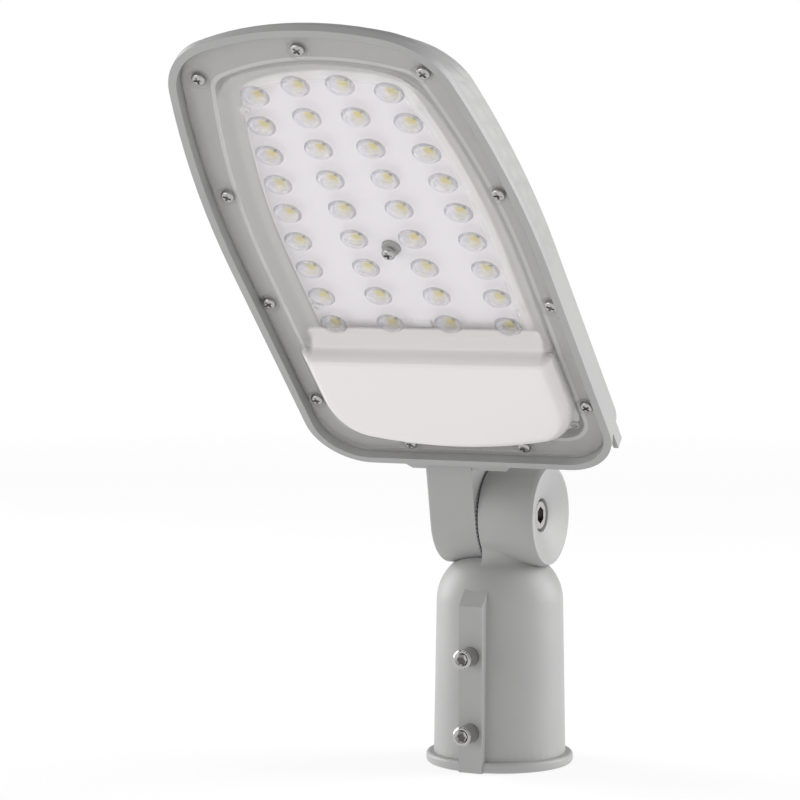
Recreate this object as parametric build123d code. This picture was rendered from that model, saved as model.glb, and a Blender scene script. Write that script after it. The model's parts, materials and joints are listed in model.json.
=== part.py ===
from build123d import *
import math
import os

# LED street-lamp head on a tilting spigot sleeve. Millimetres, +Z up.
# Origin: centre of the sleeve's mouth, on the pole's axis. +X is the tilt axis,
# towards the bolt's head. At rest the lamp leans towards -Y at rest_tilt.

# ---- pole sleeve ----
pole_d = 60.0
pole_clearance = 1.0  # on the radius
bore_r = pole_d / 2 + pole_clearance
sleeve_h = 86.0  # the domed shoulder starts here
bore_depth = sleeve_h - 4.0  # the pole stops here
relief_h = 1.5  # groove at the bore's end
relief_w = 0.6
sleeve_wall = 4.0
flange_h = 5.5
flange_w = 4.0
flange_round = 1.8
draft_deg = 1.0
shoulder_r = 26.0
stop_ledge = 8.0  # ledge that the pole's end meets
cable_space_h = 15.0
pad_w = 13.0
pad_stand = 4.5  # pad's face, out from the sleeve at its foot
pad_h = sleeve_h + 1.0
pad_bevel = 12.0
pad_round = 4.0

# ---- tilt joint ----
pivot_z = sleeve_h + 46.0
rest_tilt = 45.0  # the lamp's own axis, from vertical
knuckle_r = 27.0
ear_outer_x = -29.0
drum_outer_x = 29.0
joint_x = -2.0  # middle of the toothed joint
tooth_count = 72
tooth_h = 0.6
tooth_w = 1.6
tooth_in_r = 19.0
tooth_inset = 0.4  # from the knuckle's edge
tooth_gap = 0.2  # between the two sets of crests, as with the bolt backed off
pocket_gap = 0.6  # round the ear, where it turns over the dome
rim_step = 2.7
rim_chamfer = 1.2
rim_face = 1.2
dish_depth = 5.3
neck_curve_r = 8.0  # hollow curve from the dome up to the drum
bolt_d = 10.0
bolt_len = 40.0
head_chamfer = 0.8
bolt_head_d = 16.0
bolt_key = 8.0
bolt_head_top_x = 23.1
bolt_hole_play = 0.5  # on the radius
counterbore_play = 1.0  # on the radius
washer_t = 2.5
nut_af = 17.0
nut_h = 8.0
nut_pocket_play = 0.15
thread_fit = 0.05  # on the radius, where a thread turns in a thread
washer_split = 1.0
washer_split_deg = 20.0

# ---- set screws that clamp the pole ----
set_d = 10.0
set_len = 20.0
set_key = 5.0
set_low_z = 21.0
set_pitch = 40.0
socket_entry = 1.1

# ---- lamp head, in its own frame: x across, y along, z the way the light goes ----
cover_half = 80.1
cover_rear = 52.8
cover_tip = 339.8
cover_z = 4.2  # outer face of the cover's rim
cover_t = 3.0
cover_gap = 0.3
rear_corner_r = 25.0
side_start = 192.8  # the straight sides turn into long arcs here
side_arc_r = 525.0
tip_arc_r = 150.0
tip_corner_r = 33.0
lip_w = 4.3
lip_z = 8.7
lip_h = 3.8
cast_round = 1.5
wall_out = 2.4  # housing wall, out from the cover's edge
wall_t = 2.8
skirt_t = 2.6
skirt_rear = 62.6
skirt_back_z = -2.0
skirt_in = 0.2  # from the lip's edge
tip_set = 0.9  # the shell's tip, in from its sides' line
tip_draw = 1.17  # the shell's tip leans in this much for each mm of depth
ledge_t = 1.0  # under the cover's rim, before the tip leans in
floor_z = -6.0
bay_half = cover_half - 14.1
bay_rear = 58.0
bay_front = 134.0
bay_floor_z = -30.0
bay_corner_r = 14.0
fin_pairs = 5
fin_pitch = 12.5
fin_t = 2.2
fin_depth = 18.0
fin_tip_depth = 6.0
fin_tip_gap = 12.0  # from the cover's tip
post_r = 3.6
post_in = 4.5  # post's axis, in from the bay's wall

# ---- lens field and window of the cover ----
field_half = cover_half - 11.0
field_rear = 131.4
field_tip = cover_tip - 19.2
field_start = side_start - 5.0
field_side_r = 420.0
field_tip_r = 125.0
field_corner_r = 12.0
field_z = 0.0
field_t = 2.5
slope_w = 8.2
slope_rear_w = 5.6
lens_w = 17.8
lens_l = 12.7
lens_rise = 4.0
window_foot_half = cover_half - 10.0
window_foot_rear = 59.7
window_foot_arc_r = 200.0
window_half = window_foot_half - 6.9
window_rear = 68.1
window_arc_r = 138.0
window_front = 129.4
window_z = 12.7
window_corner_r = 20.0
cavity_grow = -0.7  # tray's opening, from the lens field's crest
tray_in = 5.0  # tray's rear, in from the window's foot
gasket_w = 2.0
gasket_t = 0.8

# ---- light board ----
led_rows = 9
led_first = 145.0
led_pitch = (field_tip - led_first - 18.3) / (led_rows - 1)
led_out_x = field_half - 21.9
led_arc_start = 165.0
led_arc_r = 727.0
led_sag = 1.0
led_tip_sag = 4.4
led_size = 5.0
led_t = 0.7
phosphor_size = 4.4
phosphor_t = 0.3
board_z = -4.0
board_t = 1.6
board_edge = 2.8  # board's edge, in from the flat of the lens field
connector_l = 4.4
connector_w = 9.0
connector_t = 1.3
connector_y = 143.2
lead_r = 0.55
lead_gap = 2.4
lead_bend = 2.2
lead_exit_z = 12.0  # up from the bay's floor
board_screw_places = [(s * (field_half - x), y)
                      for x, y in [(14.5, 154.3), (24.0, field_tip - 34.3)] for s in (-1, 1)]

# ---- cover screws ----
screw_d = 4.0
screw_head_d = 7.0
screw_head_h = 2.2
screw_len = 7.0
screw_sink = 1.6
screw_sink_r = 5.25
rim_screws = [
    (cover_half - 23.4, cover_tip - 27.2),
    (cover_half - 9.6, cover_tip - 102.0),
    (cover_half - 4.4, 163.6),
    (cover_half - 5.6, 91.7),
    (31.8, 59.0),
]
tip_screw_y = cover_tip - 11.4
centre_screw_y = 196.0
head_dome = 0.6  # share of a pan head's height that is rounded
cross_len = 0.58  # cross recess, as shares of the head's width and height
cross_wide = 0.17
cross_deep = 0.6
hole_play = 0.3
boss_wall = 2.6

# ---- driver bay contents ----
driver_w = 2 * bay_half - 48.0
driver_x = -bay_half + 9.0 + driver_w / 2
driver_y = 96.0
driver_l = 60.0
driver_h = 20.0
driver_wall = 1.5
driver_lid_t = 1.2
tab_w = 12.0
tab_l = 6.0
plate_z = -2.5  # outer face of the white plate over the bay
plate_t = 1.5
plate_half = bay_half - 1.0
plate_rear = 67.0
plate_front = 127.0
plate_corner_r = 12.0
small_screw_d = 3.0
small_head_d = 5.6
small_head_h = 1.2
terminal_x = bay_half - 20.0
terminal_y = 96.0
terminal_w = 16.0
terminal_l = 30.0
terminal_h = 14.0
surge_y = 122.0
surge_l = 10.0
surge_w = 18.0
surge_h = 15.0
earth_y = 126.0
earth_z = -24.0
clamp_y = 72.0
clamp_z = -24.5
clamp_w = 25.0
clamp_l = 8.0
clamp_t = 3.0
clamp_wall = 1.5
clamp_pitch = 18.0
clamp_grip = 4.0
clamp_head_h = 2.0
plate_screw_len = 6.0
tab_grip = 2.0
terminal_ways = 3
way_pitch = 8.5
way_z = 4.0  # leads, up from the bay's floor
way_bore_r = 1.8
way_screw_r = 2.1
board_stand = 2.5  # driver's board, up from its case
core_half = driver_w / 7
core_h = 11.0
winding_half_x = 8.0
winding_half_y = 16.0
capacitor_r = 5.5
capacitor_h = 12.0
capacitor_places = [(-driver_w / 2.8, -14.0), (-driver_w / 2.8, 2.0), (driver_w / 2.8, -14.0)]
supply_r = 1.2

# ---- cable entry, vent ----
gland_x = bay_half - 25.0
gland_z = -19.5
gland_thread_r = 7.0
gland_hex_af = 19.0
gland_hex_t = 4.0
gland_neck = 6.0
gland_inner = 8.0
gland_nut_len = 11.0
gland_nut_open_r = 5.0
cable_r = 4.0
seal_l = 2.8
locknut_t = 3.5
grommet_play = 0.3
grommet_wall = 2.6
grommet_lip = 2.0
grommet_sink = 3.2
vent_y = 96.0
vent_z = -20.0
vent_r = 9.0
vent_h = 4.5
vent_stem_r = 5.8
vent_slot = 1.6

# ---- ear's foot on the housing ----
foot_left = -41.5
foot_right = 21.5
foot_y = 40.0
foot_z = 4.2
foot_back_z = -26.0
foot_chamfer = 5.0

bottom_centre = (Align.CENTER, Align.CENTER, Align.MIN)

sleeve_foot_r = bore_r + sleeve_wall
flange_r = sleeve_foot_r + flange_w
sleeve_top_r = sleeve_foot_r - (sleeve_h - flange_h) * math.tan(math.radians(draft_deg))
dome_top_z = sleeve_h + shoulder_r
pad_face_y = -(sleeve_foot_r + pad_stand)
bolt_seat_x = bolt_head_top_x - bolt_d - washer_t
cover_back_z = cover_z - cover_t
lip_under_z = lip_z - lip_h
ledge_z = cover_back_z - ledge_t
shell_back_z = floor_z - wall_t
bay_back_z = bay_floor_z - wall_t
bay_wall_y = bay_rear - wall_t
field_back_z = field_z - field_t
screw_seat_z = cover_z - screw_sink
centre_end_z = floor_z - wall_t / 2
clamp_xs = (gland_x - clamp_pitch / 2, gland_x + clamp_pitch / 2)
tab_places = [(driver_x + s * driver_w / 3, driver_y + t * (driver_l + tab_l) / 2)
              for s in (-1, 1) for t in (-1, 1)]
driver_board_z = bay_floor_z + driver_wall + board_stand
grommet_bore_r = cable_r + grommet_play
grommet_z = bore_depth + cable_space_h / 2
grommet_seat_y = sleeve_top_r - grommet_sink
drum_root_x = joint_x + tooth_gap / 2 + tooth_h
ear_root_x = joint_x - tooth_gap / 2 - tooth_h
tray_rear = window_foot_rear + tray_in
screw_places = [(s * x, y) for x, y in rim_screws for s in (-1, 1)] + [(0, tip_screw_y)]
post_places = [(s * (bay_half - post_in), y) for s in (-1, 1) for y in (plate_rear + 4, plate_front - 5)]


def block(x0, x1, y0, y1, z0, z1):
    """A box between two corners."""
    return Pos((x0 + x1) / 2, (y0 + y1) / 2, (z0 + z1) / 2) * Box(x1 - x0, y1 - y0, z1 - z0)


def rod(r, z0, z1):
    """A round bar along Z."""
    return Pos(0, 0, z0) * Cylinder(r, z1 - z0, align=bottom_centre)


def hex_bar(across_flats, z0, z1):
    """A hexagonal bar along Z."""
    return Pos(0, 0, z0) * extrude(RegularPolygon(across_flats / 2, 6, major_radius=False), z1 - z0)


def along_x(shape):
    """Turns a shape made along Z to lie along X on the tilt axis."""
    return Pos(0, 0, pivot_z) * Rot(0, 90, 0) * shape


def in_head(shape):
    """Places a shape made in the head's own frame at the rest tilt."""
    return Pos(0, 0, pivot_z) * Rot(90 + rest_tilt, 0, 0) * shape


def save(name, shapes):
    """Writes one node from a list of shapes."""
    solids = [solid for shape in shapes for solid in shape.solids()]
    out = solids[0] if len(solids) == 1 else Compound(children=solids)
    out.label = name
    export_step(out, "parts/" + name + ".step")


# ---------------------------------------------------------------- sleeve side


def tooth_ring(root_x, way):
    """Radial teeth on a face across the tilt axis, pointing along X by way."""
    tooth = Polygon(
        (root_x - way * tooth_h / 2, -tooth_w / 2),
        (root_x, -tooth_w / 2),
        (root_x + way * tooth_h, 0),
        (root_x, tooth_w / 2),
        (root_x - way * tooth_h / 2, tooth_w / 2),
        align=None,
    )
    length = knuckle_r - tooth_in_r - tooth_inset
    bar = Pos(0, 0, tooth_in_r) * extrude(tooth, length)
    return [Pos(0, 0, pivot_z) * Rot(360 / tooth_count * k, 0, 0) * bar for k in range(tooth_count)]


def drum():
    """The sleeve's half of the tilt knuckle, with its dished outer face."""
    hole_r = bolt_d / 2 + bolt_hole_play
    bore = bolt_head_d / 2 + counterbore_play
    profile = Polygon(
        (drum_root_x, hole_r),
        (drum_root_x, knuckle_r),
        (drum_outer_x - rim_step, knuckle_r),
        (drum_outer_x, knuckle_r - rim_chamfer),
        (drum_outer_x, knuckle_r - rim_chamfer - rim_face),
        (drum_outer_x - dish_depth, bore),
        (bolt_seat_x, bore),
        (bolt_seat_x, hole_r),
        align=None,
    )
    return Pos(0, 0, pivot_z) * revolve(Plane.XZ * profile, Axis.X)


def neck():
    """Waisted neck from the dome to the drum, tangent to both."""
    low, high = Vector(sleeve_top_r - shoulder_r, sleeve_h), Vector(0, pivot_z)
    low_r, high_r = shoulder_r + neck_curve_r, knuckle_r + neck_curve_r
    gap = (high - low).length
    along = (low_r**2 - high_r**2 + gap**2) / (2 * gap)
    across = math.sqrt(low_r**2 - along**2)
    way = (high - low).normalized()
    centre = low + way * along + Vector(way.Y, -way.X) * across
    foot = low + (centre - low) * (shoulder_r / low_r)
    top = high + (centre - high) * (knuckle_r / high_r)
    waist = centre + ((foot + top) / 2 - centre).normalized() * neck_curve_r
    outline = ThreePointArc(foot, waist, top)
    outline += Polyline(top, (0, top.Y), (0, sleeve_h), (foot.X, sleeve_h), foot)
    body = revolve(Plane.XZ * make_face(outline), Axis.Z)
    return body & block(drum_root_x, drum_outer_x, -flange_r, flange_r, sleeve_h, pivot_z)


def pole_sleeve():
    top_in_r = sleeve_top_r - shoulder_r
    bulge = shoulder_r * math.sin(math.radians(45))
    outline = Polyline(
        (0, 0), (flange_r, 0), (flange_r, flange_h), (sleeve_foot_r, flange_h), (sleeve_top_r, sleeve_h)
    )
    outline += ThreePointArc(
        (sleeve_top_r, sleeve_h), (top_in_r + bulge, sleeve_h + bulge), (top_in_r, dome_top_z)
    )
    outline += Polyline((top_in_r, dome_top_z), (0, dome_top_z), (0, 0))
    body = revolve(Plane.XZ * make_face(outline), Axis.Z)
    rims = body.edges().filter_by(GeomType.CIRCLE).filter_by(lambda e: abs(e.radius - flange_r) < 0.01)
    body = fillet(rims, flange_round)

    side = Polygon(
        (0, 0),
        (pad_face_y, 0),
        (pad_face_y, pad_h),
        (pad_face_y + pad_bevel, pad_h + pad_bevel),
        (0, pad_h + pad_bevel),
        align=None,
    )
    front = Pos(0, (pad_h + pad_bevel) / 2) * Rectangle(pad_w, pad_h + pad_bevel)
    front = fillet(front.vertices().sort_by(Axis.Y)[-2:], pad_round)
    pad = extrude(Plane.YZ * side, pad_w, both=True) & extrude(Plane.XZ * front, flange_r * 2, both=True)
    body += pad

    ear_sweep = knuckle_r + pocket_gap
    body -= along_x(rod(ear_sweep, -2 * flange_r, drum_root_x))
    body += [neck(), drum()]
    body -= along_x(rod(bolt_d / 2 + bolt_hole_play, joint_x, bolt_seat_x))
    body -= along_x(rod(bolt_head_d / 2 + counterbore_play, bolt_seat_x, drum_outer_x - dish_depth))
    body += tooth_ring(drum_root_x, -1)

    body -= rod(bore_r, 0, bore_depth)
    body -= rod(bore_r + relief_w, bore_depth - relief_h, bore_depth)
    body -= rod(bore_r - stop_ledge, bore_depth, bore_depth + cable_space_h)
    body -= grommet_hole()
    for z in (set_low_z, set_low_z + set_pitch):
        body -= Pos(0, 0, z) * Rot(90, 0, 0) * rod(set_d / 2 + thread_fit, 0, flange_r + set_d)
    return body


def grommet_hole():
    """The sleeve's rear cable hole with its flat outer seat."""
    hole = rod(grommet_bore_r + grommet_wall, 0, grommet_seat_y)
    seat = rod(grommet_bore_r + grommet_wall + grommet_lip + cover_gap, grommet_seat_y, flange_r)
    return Pos(0, 0, grommet_z) * Rot(-90, 0, 0) * (hole + seat)


def sleeve_grommet():
    inner_y = bore_r - stop_ledge + 1
    body = rod(grommet_bore_r + grommet_wall, inner_y, grommet_seat_y)
    body += rod(grommet_bore_r + grommet_wall + grommet_lip, grommet_seat_y, grommet_seat_y + grommet_lip)
    body -= rod(grommet_bore_r, 0, flange_r)
    return Pos(0, 0, grommet_z) * Rot(-90, 0, 0) * body


def set_screw(z):
    """Headless screw with a hexagon socket; its tip is flush with the sleeve's bore."""
    body = rod(set_d / 2, bore_r, bore_r + set_len)
    body = chamfer(body.edges().filter_by(GeomType.CIRCLE), head_chamfer)
    body -= hex_bar(set_key, bore_r + set_len - set_d / 2, bore_r + set_len)
    entry = Cone(set_key / 2, set_key / 2 + socket_entry, socket_entry, align=bottom_centre)
    body -= Pos(0, 0, bore_r + set_len - socket_entry) * entry
    return Pos(0, 0, z) * Rot(90, 0, 0) * body


def pivot_bolt():
    """Cap screw: its head sits in the drum, its end in the ear's nut."""
    seat = bolt_head_top_x - bolt_d
    body = rod(bolt_head_d / 2, seat, bolt_head_top_x)
    body = chamfer(body.edges().sort_by(Axis.Z)[-1], head_chamfer)
    body -= hex_bar(bolt_key, bolt_head_top_x - bolt_d / 2, bolt_head_top_x)
    shank = rod(bolt_d / 2, seat - bolt_len, seat)
    shank = chamfer(shank.edges().sort_by(Axis.Z)[0], head_chamfer)
    return along_x(body + shank)


def bolt_lock_washer():
    """Split spring washer under the bolt's head."""
    inner = bolt_d / 2 + bolt_hole_play
    body = rod(bolt_head_d / 2, bolt_seat_x, bolt_seat_x + washer_t)
    body -= rod(inner, bolt_seat_x, bolt_seat_x + washer_t)
    slit = Pos(bolt_d, 0, 0) * Box(2 * bolt_d, washer_split, 4 * washer_t)
    body -= Pos(0, 0, bolt_seat_x) * Rot(washer_split_deg, 0, 0) * slit
    return along_x(body)


# ---------------------------------------------------------------- outlines


def tapered_outline(half, rear, tip, start, side_r, tip_r, corner_r, rear_r):
    """Straight rear and sides, long side arcs, a shallow tip arc and round corners."""
    back = Pos(0, (rear + start) / 2) * Rectangle(2 * half, start - rear)
    sides = (Pos(half - side_r, start) * Circle(side_r)) & (Pos(side_r - half, start) * Circle(side_r))
    nose = Pos(0, tip - tip_r) * Circle(tip_r)
    front = sides & nose & (Pos(0, (start + tip) / 2) * Rectangle(2 * half, tip - start))
    shape = back + front
    shape = fillet(shape.vertices().sort_by(Axis.Y)[-2:], corner_r)
    if rear_r > 0:
        shape = fillet(shape.vertices().sort_by(Axis.Y)[:2], rear_r)
    return shape


def cover_outline(grow):
    """The cover's edge, moved out by grow."""
    return tapered_outline(cover_half + grow, cover_rear - grow, cover_tip + grow, side_start,
                           side_arc_r + grow, tip_arc_r + grow, tip_corner_r + grow, rear_corner_r + grow)


def field_outline(grow, rear):
    """The lens field's crest line, moved out by grow."""
    return tapered_outline(field_half + grow, rear, field_tip + grow, field_start,
                           field_side_r + grow, field_tip_r + grow, field_corner_r, 4.0)


def arched_outline(half, rear, front, arc_r, corner_r):
    """A rectangle whose rear edge is a shallow arc."""
    box = Pos(0, (rear + front) / 2) * Rectangle(2 * half, front - rear)
    shape = box & (Pos(0, rear + arc_r) * Circle(arc_r))
    return fillet(shape.vertices().sort_by(Axis.Y)[:2], corner_r)


def slab(outline, z0, z1):
    """An outline made solid between two heights."""
    return Pos(0, 0, z0) * extrude(outline, z1 - z0)


def bay_outline(grow):
    width = 2 * (bay_half + grow)
    length = bay_front - bay_rear + 2 * grow
    return Pos(0, (bay_front + bay_rear) / 2) * RectangleRounded(width, length, bay_corner_r + grow)


def tray_outline(grow):
    """The opening that the cover closes, moved out by grow: the lens field with the bay behind it."""
    rear = Pos(0, (tray_rear + field_start) / 2) * RectangleRounded(
        2 * (field_half + cavity_grow + grow), field_start - tray_rear + 2 * grow, bay_corner_r + grow)
    return rear + field_outline(cavity_grow + grow, field_rear)


# ---------------------------------------------------------------- housing


def ear():
    """The housing's half of the tilt knuckle and its foot, in the head's frame."""
    knuckle = Circle(knuckle_r)
    foot_edge = Pos(foot_y + 1, (foot_z + foot_back_z) / 2) * Rectangle(2, foot_z - foot_back_z)
    profile = make_hull(knuckle.edges() + foot_edge.edges())
    body = extrude(Plane.YZ * profile, ear_root_x - ear_outer_x)
    body = Pos(ear_outer_x, 0, 0) * body
    body = fillet(body.faces().sort_by(Axis.X)[0].edges(), cast_round)
    foot = block(foot_left, foot_right, foot_y, bay_wall_y + 1, foot_back_z, foot_z)
    uprights = foot.edges().filter_by(Axis.Z).group_by(Axis.Y)[0]
    foot = chamfer(uprights, foot_chamfer)
    return body + foot


def on_bay_side(shape):
    """Places a shape made along Z on the bay's left wall, its z = 0 on the wall, growing outwards."""
    return Pos(-bay_half - wall_t, vent_y, vent_z) * Rot(0, -90, 0) * shape


def cast_outline(grow, rear, rear_r, pull):
    """The cover's edge moved out by grow, with its own rear, its tip pulled in."""
    return tapered_outline(cover_half + grow, rear, cover_tip + grow - pull, side_start, side_arc_r + grow,
                           tip_arc_r + grow, tip_corner_r + grow, rear_r)


def leaning_wall(grow, rear, rear_r, top_z, back_z, pull):
    """A part of the casting's outer wall: upright at the sides, leaning in at the tip."""
    back_pull = pull + tip_draw * (top_z - back_z)
    return loft([Pos(0, 0, back_z) * cast_outline(grow, rear, rear_r, back_pull),
                 Pos(0, 0, top_z) * cast_outline(grow, rear, rear_r, pull)], ruled=True)


def fins():
    """Cooling fins on the back, deepest by the bay and shallow at the tip."""
    end = cover_tip - fin_tip_gap
    profile = Polygon(
        (bay_front, floor_z),
        (bay_front, shell_back_z - fin_depth),
        ((bay_front + end) / 2, shell_back_z - fin_depth),
        (end - fin_depth, shell_back_z - fin_tip_depth),
        (end, floor_z),
        align=None,
    )
    one = extrude(Plane.YZ * profile, fin_t / 2, both=True)
    comb = [Pos(k * fin_pitch, 0, 0) * one for k in range(-fin_pairs, fin_pairs + 1)]
    inside = leaning_wall(-wall_t, cover_rear + wall_t, rear_corner_r - wall_t, ledge_z, bay_back_z, tip_set)
    return [fin & inside for fin in comb]


def housing():
    body = slab(cover_outline(lip_w), lip_under_z, lip_z)
    shell_rear, shell_corner_r = cover_rear - wall_out, rear_corner_r + wall_out
    body += slab(cast_outline(wall_out, shell_rear, shell_corner_r, tip_set), ledge_z, lip_under_z)
    body += leaning_wall(wall_out, shell_rear, shell_corner_r, ledge_z, shell_back_z, tip_set)
    skirt_out = lip_w - skirt_in
    skirt = leaning_wall(skirt_out, skirt_rear, 0, lip_under_z, skirt_back_z, 0)
    body += skirt - slab(cast_outline(skirt_out - skirt_t, skirt_rear - 1, 0, 0), skirt_back_z, lip_under_z)
    body += slab(bay_outline(wall_t), bay_back_z, floor_z)
    body += fins()
    body += ear()
    body -= slab(cover_outline(cover_gap), cover_back_z, lip_z)
    body -= slab(tray_outline(0), floor_z, cover_back_z)
    body -= slab(bay_outline(0), bay_floor_z, floor_z)

    boss_r = screw_d / 2 + boss_wall
    body += Pos(0, centre_screw_y, 0) * rod(boss_r, floor_z, field_back_z)
    body += [Pos(x, y, 0) * rod(post_r, bay_floor_z, plate_z - plate_t) for x, y in post_places]
    body += [Pos(x, clamp_y, 0) * rod(post_r, bay_floor_z, clamp_z) for x in clamp_xs]
    body += Pos(terminal_x, earth_y, 0) * rod(post_r, bay_floor_z, earth_z)

    for x, y in screw_places:
        body -= Pos(x, y, 0) * rod(screw_d / 2, screw_seat_z - screw_len, cover_back_z)
    body -= Pos(0, centre_screw_y, 0) * rod(screw_d / 2, centre_end_z, field_back_z)
    for x, y in post_places:
        body -= Pos(x, y, 0) * rod(small_screw_d / 2, plate_z - plate_t - plate_screw_len, plate_z)
    for x in clamp_xs:
        body -= Pos(x, clamp_y, 0) * rod(small_screw_d / 2, clamp_z - clamp_grip, clamp_z)
    body -= Pos(terminal_x, earth_y, 0) * rod(small_screw_d / 2, earth_z - clamp_grip, earth_z)
    for x, y in tab_places:
        body -= Pos(x, y, 0) * rod(small_screw_d / 2, bay_floor_z - tab_grip, bay_floor_z)
    body -= gasket_ring(cover_back_z - gasket_t, cover_back_z)
    entry = rod(gland_thread_r + thread_fit, bay_wall_y, bay_rear)
    body -= Pos(gland_x, 0, gland_z) * Rot(-90, 0, 0) * entry
    body -= on_bay_side(rod(vent_stem_r + thread_fit, -wall_t, 0))

    hole = rod(bolt_d / 2 + bolt_hole_play, ear_outer_x, joint_x)
    pocket_in = bolt_head_top_x - bolt_d - bolt_len + nut_h
    hole += hex_bar(nut_af + 2 * nut_pocket_play, ear_outer_x, pocket_in)
    body -= Rot(0, 90, 0) * hole
    body += [Pos(0, 0, -pivot_z) * tooth for tooth in tooth_ring(ear_root_x, 1)]
    return body


def gasket_ring(z0, z1):
    """The ring between the cover and the housing, just outside the tray's opening."""
    return slab(tray_outline(cover_gap + gasket_w), z0, z1) - slab(tray_outline(cover_gap), z0, z1)


def pivot_nut():
    outer_x = bolt_head_top_x - bolt_d - bolt_len
    body = hex_bar(nut_af, outer_x, outer_x + nut_h)
    body -= rod(bolt_d / 2 + thread_fit, outer_x, outer_x + nut_h)
    return in_head(Rot(0, 90, 0) * body)


# ---------------------------------------------------------------- cover


def led_places():
    """Centres of the light sources: four to a row, the outer pair set back a little."""
    places = []
    for row in range(led_rows):
        y = led_first + led_pitch * row
        drop = led_sag + led_tip_sag * (row / (led_rows - 1)) ** 2
        run = max(0.0, y - led_arc_start)
        out = led_out_x - led_arc_r + math.sqrt(led_arc_r**2 - run**2)
        places += [(-out, y - drop), (-out / 3, y), (out / 3, y), (out, y - drop)]
    return places


def lens():
    """One oval lens dome: a round-backed bar with ball ends."""
    ball_r = (lens_l**2 / 4 + lens_rise**2) / (2 * lens_rise)
    reach = (lens_w - lens_l) / 2
    centre_z = field_z + lens_rise - ball_r
    body = Rot(0, 90, 0) * Cylinder(ball_r, 2 * reach)
    body += [Pos(reach, 0, 0) * Sphere(ball_r), Pos(-reach, 0, 0) * Sphere(ball_r)]
    body = Pos(0, 0, centre_z) * body
    return body & block(-lens_w, lens_w, -lens_l, lens_l, field_z - 0.5, field_z + lens_rise + 1)


def lens_cover():
    body = slab(cover_outline(0), cover_back_z, cover_z)
    pan_grow = -slope_w + 1.2
    pan = loft([Pos(0, 0, field_back_z) * field_outline(pan_grow, field_rear + slope_rear_w - 0.6),
                Pos(0, 0, cover_back_z) * field_outline(cavity_grow - 0.3, field_rear + 1.0)], ruled=True)
    body += pan
    window = loft([Pos(0, 0, cover_z) * arched_outline(window_foot_half, window_foot_rear, field_rear,
                                                       window_foot_arc_r, window_corner_r + 2),
                   Pos(0, 0, window_z) * arched_outline(window_half, window_rear, window_front,
                                                        window_arc_r, window_corner_r)], ruled=True)
    body += window
    hollow = loft([Pos(0, 0, cover_back_z) * arched_outline(window_half + 1, window_rear, window_front - 3,
                                                            window_arc_r, window_corner_r),
                   Pos(0, 0, window_z - field_t) * arched_outline(window_half - 2.5, window_rear + 2.5,
                                                                  window_front - 3, window_arc_r,
                                                                  window_corner_r)], ruled=True)
    body -= hollow
    recess = loft([Pos(0, 0, field_z) * field_outline(-slope_w, field_rear + slope_rear_w),
                   Pos(0, 0, cover_z) * field_outline(0, field_rear)], ruled=True)
    body -= recess
    body += [Pos(x, y, 0) * lens() for x, y in led_places()]
    for x, y in screw_places:
        body -= Pos(x, y, 0) * rod(screw_sink_r, screw_seat_z, window_z)
        body -= Pos(x, y, 0) * rod(screw_d / 2 + hole_play, cover_back_z, screw_seat_z)
    body -= Pos(0, centre_screw_y, 0) * rod(screw_d / 2 + hole_play, field_back_z, field_z)
    return in_head(body)


def cover_gasket():
    return in_head(gasket_ring(cover_back_z - gasket_t, cover_back_z))


def cross_screw(d, head_d, head_h, length):
    """Pan-head screw along Z, seated at z = 0, with a cross recess."""
    head = rod(head_d / 2, 0, head_h)
    head = fillet(head.edges().sort_by(Axis.Z)[-1], head_h * head_dome)
    arm = Box(head_d * cross_len, head_d * cross_wide, head_h * cross_deep * 2)
    head -= [Pos(0, 0, head_h) * arm, Pos(0, 0, head_h) * Rot(0, 0, 90) * arm]
    return head + rod(d / 2, -length, 0)


def cover_screws():
    one = cross_screw(screw_d, screw_head_d, screw_head_h, screw_len)
    return [in_head(Pos(x, y, screw_seat_z) * Rot(0, 0, 30 * k) * one)
            for k, (x, y) in enumerate(screw_places)]


def centre_screw():
    length = field_z - centre_end_z
    return in_head(Pos(0, centre_screw_y, field_z) * cross_screw(screw_d, screw_head_d, screw_head_h, length))


# ---------------------------------------------------------------- light board


def board_outline():
    grow = -slope_w - board_edge
    return field_outline(grow, field_rear + slope_rear_w + 1)


def board_holes(z0, z1):
    """Holes for the centre boss and the board's screws."""
    holes = [Pos(0, centre_screw_y, 0) * rod(screw_d / 2 + boss_wall + hole_play, z0, z1)]
    return holes + [Pos(x, y, 0) * rod(small_screw_d / 2, z0, z1) for x, y in board_screw_places]


def led_board():
    back_z = board_z - board_t
    return in_head(slab(board_outline(), back_z, board_z) - board_holes(back_z, board_z))


def thermal_pad():
    top_z = board_z - board_t
    return in_head(slab(board_outline(), floor_z, top_z) - board_holes(floor_z, top_z))


def squares(size, z0, z1):
    one = block(-size / 2, size / 2, -size / 2, size / 2, z0, z1)
    return [in_head(Pos(x, y, 0) * one) for x, y in led_places()]


def board_screws():
    one = cross_screw(small_screw_d, small_head_d, small_head_h, board_z - floor_z)
    return [in_head(Pos(x, y, board_z) * one) for x, y in board_screw_places]


def board_connector():
    body = block(-connector_w / 2, connector_w / 2, connector_y - connector_l / 2,
                 connector_y + connector_l / 2, board_z, board_z + connector_t)
    return in_head(body)


def wire(points, radius, bend):
    """A round wire along straight runs joined by arcs."""
    path = FilletPolyline(*points, radius=bend)
    start = Vector(*points[0])
    way = Vector(*points[1]) - start
    return sweep(Plane(origin=start, z_dir=way) * Circle(radius), path=path)


def led_leads():
    y_end = connector_y - connector_l / 2
    y_case = driver_y + driver_l / 2
    z_top = board_z + connector_t / 2
    leads = []
    z_case = bay_floor_z + lead_exit_z
    for x in (-lead_gap, lead_gap):
        points = [(x, y_case, z_case), (x, y_case + 5, z_case), (x, y_case + 5, z_top), (x, y_end, z_top)]
        leads.append(in_head(wire(points, lead_r, lead_bend)))
    return leads


# ---------------------------------------------------------------- driver bay


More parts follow.
